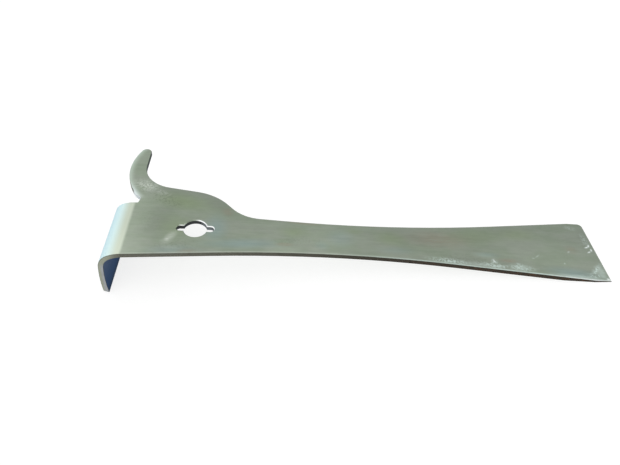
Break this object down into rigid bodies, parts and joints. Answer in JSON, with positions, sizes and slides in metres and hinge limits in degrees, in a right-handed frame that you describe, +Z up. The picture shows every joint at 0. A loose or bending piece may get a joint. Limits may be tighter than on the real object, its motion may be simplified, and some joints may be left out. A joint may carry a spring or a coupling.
{
  "type": "hive tool",
  "caption": "Flat steel hive tool with a bent scraper lip and a curved lifting hook at one end, a nail-puller hole, a narrow handle and a flared, bevelled pry blade.",
  "frame": {"origin": "middle of the bounding box in plan, at the level of the lip's edge and the chisel edge that the tool rests on", "axes": "+X from the bent scraper lip to the chisel edge, +Y towards the hook, +Z up, away from the side the lip bends to"},
  "size_m": [0.2669, 0.0916, 0.0265],
  "materials": {
    "steel": "lengthwise brushed, lightly smudged, bevel and edges ground"
  },
  "bodies": {
    "root": {"hive_tool": "steel"}
  },
  "joints": []
}
